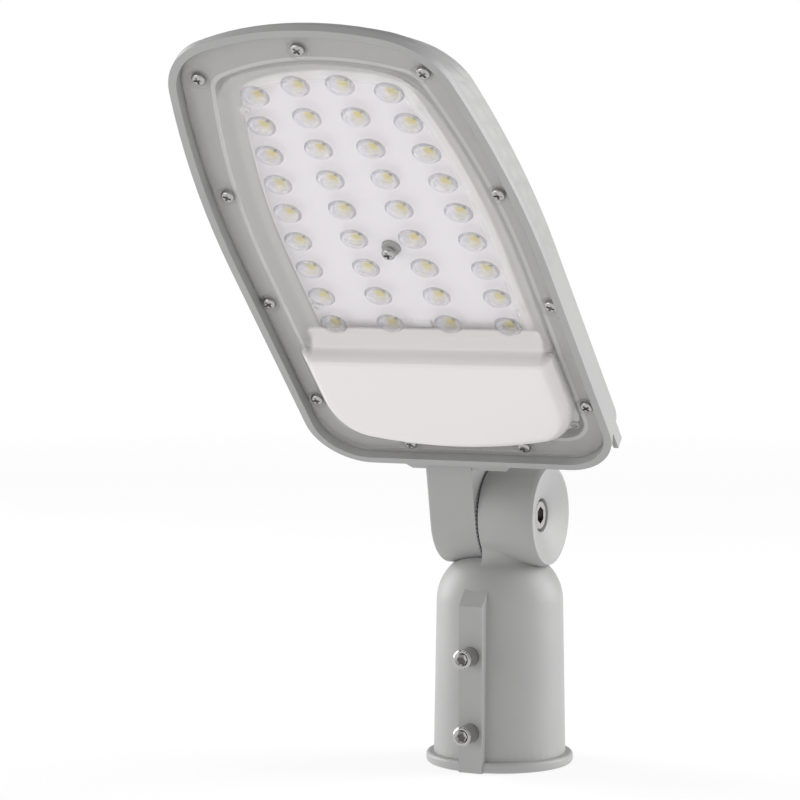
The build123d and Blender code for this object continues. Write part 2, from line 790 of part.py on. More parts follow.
def driver_block(inset, z0, z1):
    return block(driver_x - driver_w / 2 + inset, driver_x + driver_w / 2 - inset,
                 driver_y - driver_l / 2 + inset, driver_y + driver_l / 2 - inset, z0, z1)


def driver_case():
    top = bay_floor_z + driver_h
    body = driver_block(0, bay_floor_z, top) - driver_block(driver_wall, bay_floor_z + driver_wall, top)
    for x, y in tab_places:
        tab = block(x - tab_w / 2, x + tab_w / 2, y - tab_l / 2, y + tab_l / 2,
                    bay_floor_z, bay_floor_z + driver_wall)
        body += tab
        body -= Pos(x, y, 0) * rod(small_screw_d / 2, bay_floor_z, bay_floor_z + driver_wall)
    return in_head(body)


def driver_lid():
    top = bay_floor_z + driver_h
    return in_head(driver_block(0, top, top + driver_lid_t))


def driver_board():
    z = driver_board_z
    body = driver_block(driver_wall + 0.5, z, z + board_t)
    foot = rod(2, bay_floor_z + driver_wall, z)
    feet = [Pos(driver_x + s * driver_w / 3, driver_y + t * driver_l / 3, 0) * foot
            for s in (-1, 1) for t in (-1, 1)]
    return in_head(body + feet)


def driver_transformer():
    z = driver_board_z + board_t
    core = block(driver_x - core_half, driver_x + core_half, driver_y - core_half, driver_y + core_half,
                 z, z + core_h)
    winding = block(driver_x - winding_half_x, driver_x + winding_half_x, driver_y - winding_half_y,
                    driver_y + winding_half_y, z + 2, z + core_h - 2)
    return in_head(core + winding)


def driver_capacitors():
    z = driver_board_z + board_t
    one = fillet(rod(capacitor_r, z, z + capacitor_h).edges().sort_by(Axis.Z)[-1], 1)
    return [in_head(Pos(driver_x + x, driver_y + y, 0) * one) for x, y in capacitor_places]


def tab_screws():
    length = driver_wall + tab_grip
    one = cross_screw(small_screw_d, small_head_d, small_head_h, length)
    return [in_head(Pos(x, y, bay_floor_z + driver_wall) * one) for x, y in tab_places]


def driver_cover():
    """White plate over the bay, on four posts."""
    body = Pos(0, (plate_rear + plate_front) / 2) * RectangleRounded(
        2 * plate_half, plate_front - plate_rear, plate_corner_r)
    body = slab(body, plate_z - plate_t, plate_z)
    body -= [Pos(x, y, 0) * rod(small_screw_d / 2, plate_z - plate_t, plate_z) for x, y in post_places]
    return in_head(body)


def plate_screws():
    one = cross_screw(small_screw_d, small_head_d, small_head_h, plate_screw_len)
    return [in_head(Pos(x, y, plate_z) * one) for x, y in post_places]


def way_places():
    return [terminal_y + (k - (terminal_ways - 1) / 2) * way_pitch for k in range(terminal_ways)]


def terminal_block():
    top = bay_floor_z + terminal_h
    body = block(terminal_x - terminal_w / 2, terminal_x + terminal_w / 2, terminal_y - terminal_l / 2,
                 terminal_y + terminal_l / 2, bay_floor_z, top)
    for y in way_places():
        body -= Pos(terminal_x, y, 0) * rod(way_screw_r + 0.1, top - 7, top)
        way = Rot(0, 90, 0) * rod(way_bore_r, -terminal_w / 2, terminal_w / 2)
        body -= Pos(terminal_x, y, bay_floor_z + way_z) * way
    return in_head(body)


def terminal_screws():
    top = bay_floor_z + terminal_h
    body = rod(way_screw_r, top - 6, top - 2) - Pos(0, 0, top - 2) * Box(5, 0.7, 1.4)
    return [in_head(Pos(terminal_x, y, 0) * body) for y in way_places()]


def supply_leads():
    """Three leads from the terminal block to the driver."""
    z_block = bay_floor_z + way_z
    z_case = z_block + 7
    x_case = driver_x + driver_w / 2
    x_block = terminal_x - terminal_w / 2 + 4
    mid = (x_case + terminal_x - terminal_w / 2) / 2
    leads = []
    for y in way_places():
        points = [(x_block, y, z_block), (mid, y, z_block), (mid, y, z_case), (x_case, y, z_case)]
        leads.append(in_head(wire(points, supply_r, 2.0)))
    return leads


def surge_protector():
    body = block(terminal_x - surge_w / 2, terminal_x + surge_w / 2, surge_y - surge_l, surge_y - 2,
                 bay_floor_z, bay_floor_z + surge_h)
    return in_head(fillet(body.edges().filter_by(Axis.Z), 1.5))


def earth_screw():
    one = cross_screw(small_screw_d, small_head_d, clamp_head_h, clamp_grip)
    return in_head(Pos(terminal_x, earth_y, earth_z) * one)


def cable_clamp():
    """Strap across the cable, just inside its entry."""
    rear, front = clamp_y - clamp_l / 2, clamp_y + clamp_l / 2
    arch = cable_r + clamp_wall
    body = block(gland_x - clamp_w / 2, gland_x + clamp_w / 2, rear, front, clamp_z, clamp_z + clamp_t)
    body += block(gland_x - arch, gland_x + arch, rear, front, clamp_z, gland_z + arch)
    body -= Pos(gland_x, 0, gland_z) * Rot(-90, 0, 0) * rod(cable_r, rear, front)
    body -= block(gland_x - cable_r, gland_x + cable_r, rear, front, bay_floor_z, gland_z)
    body -= [Pos(x, clamp_y, 0) * rod(small_screw_d / 2, clamp_z, clamp_z + clamp_t) for x in clamp_xs]
    return in_head(body)


def clamp_screws():
    one = cross_screw(small_screw_d, small_head_d, clamp_head_h, clamp_grip + clamp_t)
    return [in_head(Pos(x, clamp_y, clamp_z + clamp_t) * one) for x in clamp_xs]


def on_entry(shape):
    """Places a shape made along Z on the cable entry, its z = 0 on the wall, growing outwards."""
    return in_head(Pos(gland_x, bay_wall_y, gland_z) * Rot(90, 0, 0) * shape)


def gland_body():
    body = hex_bar(gland_hex_af, 0, gland_hex_t)
    body += rod(gland_thread_r, -wall_t - gland_inner, gland_hex_t + gland_neck)
    return on_entry(body - rod(cable_r + 0.5, -wall_t - gland_inner, gland_hex_t + gland_neck))


def gland_nut():
    end = gland_hex_t + gland_nut_len
    body = hex_bar(gland_hex_af, gland_hex_t, end - 3)
    body += Pos(0, 0, end - 3) * Cone(gland_hex_af / 2, gland_hex_af / 2 - 2.5, 3, align=bottom_centre)
    body -= rod(gland_thread_r + thread_fit, gland_hex_t, end - 2)
    return on_entry(body - rod(gland_nut_open_r, 0, end))


def gland_seal():
    z0 = gland_hex_t + gland_neck
    return on_entry(rod(gland_thread_r - 0.2, z0, z0 + seal_l) - rod(cable_r, z0, z0 + seal_l))


def gland_locknut():
    body = hex_bar(gland_hex_af, -wall_t - locknut_t, -wall_t)
    return on_entry(body - rod(gland_thread_r, -wall_t - locknut_t, -wall_t))


def breather_vent():
    """Pressure-equalising vent on the side of the bay."""
    cap = fillet(rod(vent_r, 0, vent_h).edges().sort_by(Axis.Z)[-1], 1.2)
    body = cap + rod(vent_stem_r, -wall_t - 2, 0)
    slot = Pos(0, 0, vent_h / 2) * Box(2.5 * vent_r, vent_slot, vent_slot)
    body -= [Rot(0, 0, 60 * k) * slot for k in range(3)]
    return in_head(on_bay_side(body))


def main():
    os.makedirs("parts", exist_ok=True)
    nodes = {
        "pole_sleeve": [pole_sleeve()],
        "sleeve_grommet": [sleeve_grommet()],
        "pivot_bolt": [pivot_bolt()],
        "bolt_lock_washer": [bolt_lock_washer()],
        "set_screw_lower": [set_screw(set_low_z)],
        "set_screw_upper": [set_screw(set_low_z + set_pitch)],
        "housing": [in_head(housing())],
        "pivot_nut": [pivot_nut()],
        "lens_cover": [lens_cover()],
        "cover_gasket": [cover_gasket()],
        "cover_screws": cover_screws(),
        "centre_screw": [centre_screw()],
        "led_board": [led_board()],
        "thermal_pad": [thermal_pad()],
        "led_packages": squares(led_size, board_z, board_z + led_t),
        "led_phosphors": squares(phosphor_size, board_z + led_t, board_z + led_t + phosphor_t),
        "board_screws": board_screws(),
        "board_connector": [board_connector()],
        "led_leads": led_leads(),
        "driver_case": [driver_case()],
        "driver_lid": [driver_lid()],
        "driver_board": [driver_board()],
        "driver_transformer": [driver_transformer()],
        "driver_capacitors": driver_capacitors(),
        "driver_screws": tab_screws(),
        "driver_cover": [driver_cover()],
        "plate_screws": plate_screws(),
        "terminal_block": [terminal_block()],
        "terminal_screws": terminal_screws(),
        "supply_leads": supply_leads(),
        "surge_protector": [surge_protector()],
        "earth_screw": [earth_screw()],
        "cable_clamp": [cable_clamp()],
        "clamp_screws": clamp_screws(),
        "gland_body": [gland_body()],
        "gland_nut": [gland_nut()],
        "gland_seal": [gland_seal()],
        "gland_locknut": [gland_locknut()],
        "breather_vent": [breather_vent()],
    }
    for name, shapes in nodes.items():
        save(name, shapes)
        print(name, len([s for shape in shapes for s in shape.solids()]))


main()
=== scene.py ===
import bpy
import json
import math
import numpy as np
from mathutils import Matrix, Vector


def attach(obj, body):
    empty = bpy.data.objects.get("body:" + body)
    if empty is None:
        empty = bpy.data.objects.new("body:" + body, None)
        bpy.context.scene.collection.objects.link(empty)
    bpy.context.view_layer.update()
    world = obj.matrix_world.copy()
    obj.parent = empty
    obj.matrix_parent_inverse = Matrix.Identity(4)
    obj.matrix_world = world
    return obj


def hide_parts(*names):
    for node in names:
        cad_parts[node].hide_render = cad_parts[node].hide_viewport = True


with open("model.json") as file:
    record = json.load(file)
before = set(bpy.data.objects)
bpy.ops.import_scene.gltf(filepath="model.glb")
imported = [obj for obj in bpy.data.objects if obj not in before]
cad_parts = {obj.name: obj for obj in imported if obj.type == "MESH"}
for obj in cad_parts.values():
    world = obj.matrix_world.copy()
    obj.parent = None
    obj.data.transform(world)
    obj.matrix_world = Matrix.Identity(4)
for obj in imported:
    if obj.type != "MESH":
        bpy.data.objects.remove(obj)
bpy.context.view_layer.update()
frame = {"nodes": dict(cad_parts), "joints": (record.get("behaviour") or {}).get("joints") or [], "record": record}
print("frame loaded:", len(frame["nodes"]), "CAD nodes")

mm = 0.001
tiltJoint = next(j for j in frame["joints"] if j["name"] == "head_tilt")
headTilt = math.radians(45)  # how far the lamp leans at rest
headFrame = Matrix.Translation(tiltJoint["pos_m"]) @ Matrix.Rotation(math.pi / 2 + headTilt, 4, "X")


def hexColour(code):  # sRGB hex to linear
    channels = [int(code[i:i + 2], 16) / 255 for i in (0, 2, 4)]
    linear = [c / 12.92 if c <= 0.04045 else ((c + 0.055) / 1.055) ** 2.4 for c in channels]
    return (*linear, 1.0)


def addNode(tree, kind, settings=None, links=None):  # one node, its values and what feeds it
    node = tree.nodes.new(kind)
    for name, value in (settings or {}).items():
        if isinstance(name, int) or name in node.inputs:
            node.inputs[name].default_value = value
        else:
            setattr(node, name, value)
    for name, source in (links or {}).items():
        tree.links.new(source, node.inputs[name])
    return node


def newMaterial(name):
    material = bpy.data.materials.new(name)
    material.use_nodes = True
    material.node_tree.nodes.clear()
    return material, material.node_tree


def showShader(tree, shader):
    addNode(tree, "ShaderNodeOutputMaterial", links={"Surface": shader})


def patternScale(sizeMm):  # texture scale for a feature of this size in object coordinates
    return 1 / (sizeMm * mm)


def powderCoat():  # polyester powder coat on die-cast aluminium: even satin grey, faint orange peel
    look = dict(light="A2A2A1", dark="9A9A9A", roughness=(0.4, 0.5), peelMm=1.2, mottleMm=35, peelDepth=0.008)
    material, tree = newMaterial("powderCoatedAluminium")
    place = addNode(tree, "ShaderNodeTexCoord").outputs["Object"]
    mottle = addNode(tree, "ShaderNodeTexNoise", {"Scale": patternScale(look["mottleMm"]), "Detail": 2.0},
                     {"Vector": place}).outputs[0]
    peel = addNode(tree, "ShaderNodeTexNoise", {"Scale": patternScale(look["peelMm"]), "Detail": 3.0},
                   {"Vector": place}).outputs[0]
    bump = addNode(tree, "ShaderNodeBump", {"Strength": 0.35, "Distance": look["peelDepth"] * mm},
                   {"Height": peel})
    tone = addNode(tree, "ShaderNodeMix", {"data_type": "RGBA", 6: hexColour(look["dark"]),
                   7: hexColour(look["light"])}, {0: mottle}).outputs[2]
    rough = addNode(tree, "ShaderNodeMapRange", {3: look["roughness"][0], 4: look["roughness"][1]},
                    {0: peel}).outputs[0]
    shader = addNode(tree, "ShaderNodeBsdfPrincipled", {"IOR": 1.5},
                     {"Base Color": tone, "Roughness": rough, "Normal": bump.outputs[0]})
    showShader(tree, shader.outputs[0])
    return material


def brightMetal(name, light, dark, roughness, marksMm=0.35):  # reflects in its own colour, broken by fine marks
    material, tree = newMaterial(name)
    place = addNode(tree, "ShaderNodeTexCoord").outputs["Object"]
    marks = addNode(tree, "ShaderNodeTexNoise", {"Scale": patternScale(marksMm), "Detail": 4.0},
                    {"Vector": place}).outputs[0]
    tone = addNode(tree, "ShaderNodeMix", {"data_type": "RGBA", 6: hexColour(dark), 7: hexColour(light)},
                   {0: marks}).outputs[2]
    rough = addNode(tree, "ShaderNodeMapRange", {3: roughness[0], 4: roughness[1]}, {0: marks}).outputs[0]
    shader = addNode(tree, "ShaderNodeBsdfPrincipled", {"Metallic": 1.0},
                     {"Base Color": tone, "Roughness": rough})
    showShader(tree, shader.outputs[0])
    return material


def mouldedPlastic(name, light, dark, roughness, ior=1.5, grainMm=0.8, grainDepth=0.02):  # even, faintly grained
    material, tree = newMaterial(name)
    place = addNode(tree, "ShaderNodeTexCoord").outputs["Object"]
    grain = addNode(tree, "ShaderNodeTexNoise", {"Scale": patternScale(grainMm), "Detail": 3.0},
                    {"Vector": place}).outputs[0]
    bump = addNode(tree, "ShaderNodeBump", {"Strength": 0.4, "Distance": grainDepth * mm}, {"Height": grain})
    tone = addNode(tree, "ShaderNodeMix", {"data_type": "RGBA", 6: hexColour(dark), 7: hexColour(light)},
                   {0: grain}).outputs[2]
    rough = addNode(tree, "ShaderNodeMapRange", {3: roughness[0], 4: roughness[1]}, {0: grain}).outputs[0]
    shader = addNode(tree, "ShaderNodeBsdfPrincipled", {"IOR": ior},
                     {"Base Color": tone, "Roughness": rough, "Normal": bump.outputs[0]})
    showShader(tree, shader.outputs[0])
    return material


def clearPolycarbonate():  # injection-moulded clear cover: glossy, passes light, milky where it is frosted
    look = dict(tint="FBFBFB", frost="DFDCDA", gloss=(0.1, 0.2), frostGloss=0.3, ior=1.585,
                straightOn=0.045, glancing=0.6, flowMm=22)
    material, tree = newMaterial("polycarbonateMoulded")
    facing = addNode(tree, "ShaderNodeLayerWeight", {"Blend": 0.5}).outputs["Facing"]
    steep = addNode(tree, "ShaderNodeMath", {"operation": "POWER", 1: 5.0}, {0: facing}).outputs[0]
    fresnel = addNode(tree, "ShaderNodeMapRange", {3: look["straightOn"], 4: look["glancing"]},
                      {0: steep}).outputs[0]  # the same from inside and outside
    clear = addNode(tree, "ShaderNodeBsdfTransparent", {"Color": hexColour(look["tint"])}).outputs[0]
    place = addNode(tree, "ShaderNodeTexCoord").outputs["Object"]
    flow = addNode(tree, "ShaderNodeTexNoise", {"Scale": patternScale(look["flowMm"]), "Detail": 1.0},
                   {"Vector": place}).outputs[0]
    gloss = addNode(tree, "ShaderNodeMapRange", {3: look["gloss"][0], 4: look["gloss"][1]},
                    {0: flow}).outputs[0]
    mirror = addNode(tree, "ShaderNodeBsdfGlossy", {"Color": hexColour("FFFFFF")},
                     {"Roughness": gloss}).outputs[0]
    pane = addNode(tree, "ShaderNodeMixShader", links={0: fresnel, 1: clear, 2: mirror}).outputs[0]
    milk = addNode(tree, "ShaderNodeBsdfPrincipled", {"Base Color": hexColour(look["frost"]),
                   "Roughness": look["frostGloss"], "IOR": look["ior"]}).outputs[0]
    frost = addNode(tree, "ShaderNodeAttribute", {"attribute_name": "frost"}).outputs["Fac"]
    showShader(tree, addNode(tree, "ShaderNodeMixShader", links={0: frost, 1: pane, 2: milk}).outputs[0])
    return material


def lensPolycarbonate():  # polished lens domes: clear, they bend what lies behind them
    look = dict(clear="FDFDFE", shade="F4F4F6", gloss=(0.05, 0.12), ior=1.49, rippleMm=6, straight=0.55)
    material, tree = newMaterial("polycarbonatePolished")
    path = addNode(tree, "ShaderNodeLightPath")
    place = addNode(tree, "ShaderNodeTexCoord").outputs["Object"]
    ripple = addNode(tree, "ShaderNodeTexNoise", {"Scale": patternScale(look["rippleMm"])},
                     {"Vector": place}).outputs[0]
    tone = addNode(tree, "ShaderNodeMix", {"data_type": "RGBA", 6: hexColour(look["clear"]),
                   7: hexColour("FFFFFF")}, {0: ripple}).outputs[2]
    gloss = addNode(tree, "ShaderNodeMapRange", {3: look["gloss"][0], 4: look["gloss"][1]},
                    {0: ripple}).outputs[0]
    lens = addNode(tree, "ShaderNodeBsdfPrincipled", {"Transmission Weight": 1.0, "IOR": look["ior"]},
                   {"Base Color": tone, "Roughness": gloss}).outputs[0]
    clear = addNode(tree, "ShaderNodeBsdfTransparent", {"Color": hexColour(look["shade"])}).outputs[0]
    direct = addNode(tree, "ShaderNodeMath", {"operation": "MAXIMUM", 1: look["straight"]},
                     {0: path.outputs["Is Shadow Ray"]}).outputs[0]  # light falls straight through
    showShader(tree, addNode(tree, "ShaderNodeMixShader", links={0: direct, 1: lens, 2: clear}).outputs[0])
    return material


makers = {
    "cast_paint": powderCoat,
    "clear_polycarbonate": clearPolycarbonate,
    # cold-headed screws: bright, with fine turning marks
    "bright_steel": lambda: brightMetal("stainlessSteelHeaded", "CFCECC", "8A8987", (0.08, 0.18)),
    # folded sheet: duller than steel, with a faint rolled grain
    "bare_aluminium": lambda: brightMetal("aluminiumRolled", "D2D3D5", "B9BABC", (0.3, 0.42), 0.8),
    # moulded silicone: soft and milky, almost no gloss
    "silicone_seal": lambda: mouldedPlastic("siliconeMoulded", "CFCFCB", "BEBEBA", (0.55, 0.7), 1.41),
    # moulded rubber: black, dull
    "black_rubber": lambda: mouldedPlastic("rubberMoulded", "2A2A2A", "1C1C1C", (0.6, 0.8), 1.52),
    # printed solder mask: flat white with a soft shine
    "white_board": lambda: mouldedPlastic("solderMaskPrinted", "FBF8FB", "F5F1F6",
                                          (0.3, 0.45), 1.5, 3.0, 0.01),
    # moulded light package: creamy white
    "led_body": lambda: mouldedPlastic("ledPackageMoulded", "F6F3EA", "ECE7DA", (0.3, 0.45), 1.54),
    # cast phosphor silicone: pale yellow, slightly glossy
    "phosphor": lambda: mouldedPlastic("phosphorSiliconeCast", "FBEB96", "F0DC6C", (0.25, 0.4), 1.41),
    # pressed thermal pad: matt grey
    "thermal_silicone": lambda: mouldedPlastic("thermalPadPressed", "B9B9BD", "A7A7AB", (0.7, 0.85), 1.41),
    # moulded nylon: off-white with a fine grain
    "white_plastic": lambda: mouldedPlastic("nylonMouldedWhite", "EFEEEA", "E4E3DE", (0.4, 0.55), 1.53),
    # moulded nylon: near black, with a spark-eroded grain
    "black_plastic": lambda: mouldedPlastic("nylonMouldedBlack", "303030", "1F1F1F",
                                            (0.45, 0.6), 1.53, 0.6, 0.04),
    # etched glass epoxy: deep green with a lacquer shine
    "green_board": lambda: mouldedPlastic("glassEpoxyEtched", "2F7A43", "1F5A30", (0.3, 0.4), 1.55),
    # sintered ferrite: dark grey and gritty
    "dark_ferrite": lambda: mouldedPlastic("ferriteSintered", "4A4A4D", "333335", (0.6, 0.8)),
    # extruded silicone sleeve: even red, satin
    "wire_sleeve": lambda: mouldedPlastic("siliconeWireExtruded", "C2352B", "A82820", (0.4, 0.5), 1.41),
    # dipped epoxy: rounded blue, glossy
    "blue_plastic": lambda: mouldedPlastic("epoxyDipped", "2C5FA8", "214B8A", (0.2, 0.35), 1.55),
}
materials = {slotName: make() for slotName, make in makers.items()}
whiteFaced = {"board_screws", "board_connector", "led_leads"}  # white, so that they take no light
whiteFinish = mouldedPlastic("nylonMouldedSnow", "F6F4F6", "EEECEF", (0.4, 0.5), 1.53)
for part in frame["record"]["subparts"]:
    target = frame["nodes"][part["node"]]
    target.data.materials.clear()
    finish = whiteFinish if part["node"] in whiteFaced else materials[part["material_slot"]]
    target.data.materials.append(finish)
print("materials ready:", len(materials))

def addPiece(name, verts, faces, material, body="head", smooth=True):
    mesh = bpy.data.meshes.new(name)
    mesh.from_pydata([tuple(v) for v in np.asarray(verts, float) * mm], [], faces)
    mesh.transform(headFrame)
    mesh.validate()
    mesh.materials.append(material)
    if smooth:
        mesh.shade_smooth()
    piece = bpy.data.objects.new(name, mesh)
    bpy.context.scene.collection.objects.link(piece)
    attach(piece, body)
    return piece


def ringMesh(rings, closeEnds=True):  # quads between rings of the same number of points
    count = len(rings[0])
    verts = np.concatenate(rings)
    faces = []
    for k in range(len(rings) - 1):
        a, b = k * count, (k + 1) * count
        faces += [(a + i, a + (i + 1) % count, b + (i + 1) % count, b + i) for i in range(count)]
    if closeEnds:
        faces.append(tuple(range(count - 1, -1, -1)))
        faces.append(tuple(range((len(rings) - 1) * count, len(rings) * count)))
    return verts, faces


def joined(parts):  # several (verts, faces) as one
    verts, faces, base = [], [], 0
    for v, f in parts:
        verts.append(np.asarray(v, float))
        faces += [tuple(i + base for i in face) for face in f]
        base += len(v)
    return np.concatenate(verts), faces


def portion(value, run):  # 0 to 1 over the run
    return np.clip(value / run, 0, 1)


def softRamp(t, ease):  # 0 to 1 with rounded ends
    steps = np.linspace(-1, 1, 7)
    return np.mean([np.clip(t + ease * s, 0, 1) for s in steps], axis=0)


def roundedMin(a, b, r):  # the smaller distance, rounded over r where both are small
    both = (a < r) & (b < r)
    corner = r - np.hypot(np.minimum(a, r) - r, np.minimum(b, r) - r)
    return np.where(both, corner, np.minimum(a, b))


# the clear cover, in mm from the tilt bolt: y runs to the tip and z is 0 on the face of the lens field
coverShape = dict(half=80.1, rear=52.8, tip=339.8, sideStart=192.8, sideR=525.0, tipR=150.0, tipCornerR=33.0,
                  rearCornerR=25.0, rimZ=4.2, rimUnder=1.25, wall=2.6, edgeRound=0.7, columns=150, rowMm=1.05,
                  rearRows=18, cornerRows=34, tipRows=26, tipEnd=0.004)
fieldShape = dict(half=69.1, rear=131.4, tip=320.6, sideStart=187.8, sideR=420.0, tipR=125.0, cornerR=12.0,
                  slope=8.2, rearSlope=5.6, rearCornerR=5.0, ease=0.13)
windowShape = dict(half=70.1, rear=59.7, arcR=200.0, front=131.4, cornerR=22.0, rise=8.5, sideRun=6.9,
                   rearRun=8.5, frontRun=2.0, ease=0.2)
frostShape = dict(rim=0.2, slope=0.5, slopeBy=0.25, flat=0.1, flatFrom=0.8, border=4.0, borderFade=3.0,
                  bridge=0.9, bridgeEnd=143.6, endFade=1.6, bridgeHalf=66.0, sideFade=4.0, bridgeBack=6.0,
                  backFade=3.0, windowFrom=0.05, windowFade=0.35)
screwRecess = dict(r=5.25, depth=1.6, wallRun=1.2, wallOut=0.4, ease=0.2, beadR=5.55, beadThick=0.42, beadUp=0.1)
ejectorMark = dict(r=2.5, thick=0.16, sink=0.1, steps=28, sides=6)


def mirrored(places):  # the same places on the other side too
    return [(side * x, y) for x, y in places for side in (-1, 1)]


screwPlaces = mirrored([(56.7, 312.6), (70.5, 237.8), (75.7, 163.6), (74.5, 91.7), (31.8, 59.0)])
screwPlaces.append((0.0, 328.4))
markPlaces = mirrored([(30.0, 324.5), (67.0, 276.0), (74.6, 200.5), (75.2, 128.0), (58.5, 65.0)])
markPlaces.append((0.0, 57.5))  # left by the mould's ejectors, half way between the rim's screws


def coverCorner(c):  # centre of the tip corner's arc, and where it meets the side and tip arcs
    sx, sy, sr = c["half"] - c["sideR"], c["sideStart"], c["sideR"] - c["tipCornerR"]
    tx, ty, tr = 0.0, c["tip"] - c["tipR"], c["tipR"] - c["tipCornerR"]
    dx, dy = tx - sx, ty - sy
    gap = math.hypot(dx, dy)
    along = (sr * sr - tr * tr + gap * gap) / (2 * gap)
    across = math.sqrt(sr * sr - along * along)
    cx = sx + (along * dx - across * dy) / gap
    cy = sy + (along * dy + across * dx) / gap
    sideY = sy + (cy - sy) * c["sideR"] / sr
    tipY = ty + (cy - ty) * c["tipR"] / tr
    return cx, cy, sideY, tipY


def coverRows(c):  # rows along the cover and its half width at each, closest where the edge curves
    cx, cy, sideY, tipY = coverCorner(c)
    rows = []
    r = c["rearCornerR"]
    for a in np.linspace(0, math.pi / 2, c["rearRows"])[:-1]:
        rows.append((c["rear"] + r * (1 - math.cos(a)), c["half"] - r + r * math.sin(a)))
    first = c["rear"] + r
    for y in np.linspace(first, sideY, int((sideY - first) / c["rowMm"]))[:-1]:
        over = max(0.0, y - c["sideStart"])
        rows.append((y, c["half"] - c["sideR"] + math.sqrt(c["sideR"] ** 2 - over ** 2)))
    r = c["tipCornerR"]
    low, high = math.asin((sideY - cy) / r), math.asin((tipY - cy) / r)
    for a in np.linspace(low, high, c["cornerRows"])[:-1]:
        rows.append((cy + r * math.sin(a), cx + r * math.cos(a)))
    ty, tr = c["tip"] - c["tipR"], c["tipR"]
    last = math.acos((tipY - ty) / tr)
    for a in np.linspace(last, c["tipEnd"], c["tipRows"]):  # stops just short of the middle
        rows.append((ty + tr * math.cos(a), tr * math.sin(a)))
    return np.array(rows)


def sideInset(x, y, s):  # how far inside the curved side
    over = np.maximum(0.0, y - s["sideStart"])
    return s["sideR"] - np.hypot(np.abs(x) - (s["half"] - s["sideR"]), over)


def tipInset(x, y, s):  # how far inside the curved tip
    return s["tipR"] - np.hypot(x, y - (s["tip"] - s["tipR"]))


def fieldDepth(x, y):  # 0 outside the lens field, 1 on its flat
    s = fieldShape
    side, tip = sideInset(x, y, s), tipInset(x, y, s)
    front = np.where(y > s["tip"] - s["tipR"], roundedMin(side, tip, s["cornerR"]), side)
    rear = (y - s["rear"]) * s["slope"] / s["rearSlope"]
    return softRamp(roundedMin(front, rear, s["rearCornerR"]) / s["slope"], s["ease"])


def windowRise(x, y):  # 0 outside the raised window, 1 on its top
    s = windowShape
    side = (s["half"] - np.abs(x)) / s["sideRun"]
    rear = (s["arcR"] - np.hypot(x, y - (s["rear"] + s["arcR"]))) / s["rearRun"]
    front = (s["front"] - y) / s["frontRun"]
    around = roundedMin(side, rear, s["cornerR"] / s["sideRun"])
    return softRamp(np.minimum(around, front), s["ease"])


def milkiness(x, y):  # how frosted the cover is: rim nearly clear, slopes milky, window fully so
    m, s = frostShape, fieldShape
    depth = fieldDepth(x, y)
    inset = np.minimum(sideInset(x, y, s), tipInset(x, y, s))
    onSlope = portion(depth, m["slopeBy"])
    onFlat = portion(depth - m["flatFrom"], 1 - m["flatFrom"])
    onFlat = onFlat * portion(inset - s["slope"] - m["border"], m["borderFade"])
    frost = m["rim"] + (m["slope"] - m["rim"]) * onSlope
    frost = frost + (m["flat"] - frost) * onFlat
    bridge = portion(m["bridgeEnd"] - y, m["endFade"]) * portion(m["bridgeHalf"] - np.abs(x), m["sideFade"])
    bridge = bridge * portion(y - s["rear"] + m["bridgeBack"], m["backFade"])
    frost = np.maximum(frost, m["bridge"] * bridge)
    return np.maximum(frost, portion(windowRise(x, y) - m["windowFrom"], m["windowFade"]))


def coverHeight(x, y):  # the cover's top: rim, sunk lens field, raised window, screw recesses
    z = coverShape["rimZ"] * (1 - fieldDepth(x, y))
    z = z + windowShape["rise"] * windowRise(x, y)
    s = screwRecess
    for sx, sy in screwPlaces:
        inside = s["r"] + s["wallOut"] - np.hypot(x - sx, y - sy)
        z = z - s["depth"] * softRamp(inside / s["wallRun"], s["ease"])
    return z


def smallRing(x, y, z, r, thick, steps=40, sides=8):  # a moulded bead round a recess
    turns = np.linspace(0, 2 * math.pi, sides, endpoint=False)
    around = np.linspace(0, 2 * math.pi, steps, endpoint=False)
    rings = [np.stack([x + (r + thick * math.cos(t)) * np.cos(around),
                       y + (r + thick * math.cos(t)) * np.sin(around),
                       np.full(steps, z + thick * math.sin(t))], 1) for t in turns]
    rings.append(rings[0])
    return ringMesh(rings, closeEnds=False)


def coverShell(x, y):  # top and underside joined round the edge, one closed shell
    c = coverShape
    z = coverHeight(x, y)
    edge = np.minimum(np.abs(x).max(axis=1, keepdims=True) - np.abs(x), y - c["rear"])
    edge = np.minimum(edge, tipInset(x, y, c))
    top = z - c["edgeRound"] * (1 - np.sqrt(portion(edge, c["edgeRound"])))
    onRim = np.clip(np.maximum(fieldDepth(x, y), windowRise(x, y)), 0, 1)
    under = np.minimum(z - c["wall"], c["rimUnder"] * (1 - onRim) + (z - c["wall"]) * onRim)
    verts = np.concatenate([np.stack([x, y, top], 2).reshape(-1, 3), np.stack([x, y, under], 2).reshape(-1, 3)])
    n = x.size
    at = np.arange(n).reshape(x.shape)
    a, b, d, e = at[:-1, :-1].ravel(), at[:-1, 1:].ravel(), at[1:, 1:].ravel(), at[1:, :-1].ravel()
    faces = [tuple(q) for q in np.stack([a, b, d, e], 1)] + [tuple(q) for q in np.stack([e, d, b, a], 1) + n]
    loop = list(at[0, :]) + list(at[1:, -1]) + list(at[-1, :-1][::-1]) + list(at[1:-1, 0][::-1])
    ahead = loop[1:] + loop[:1]
    faces += [(i, i + n, j + n, j) for i, j in zip(loop, ahead)]
    return verts, faces


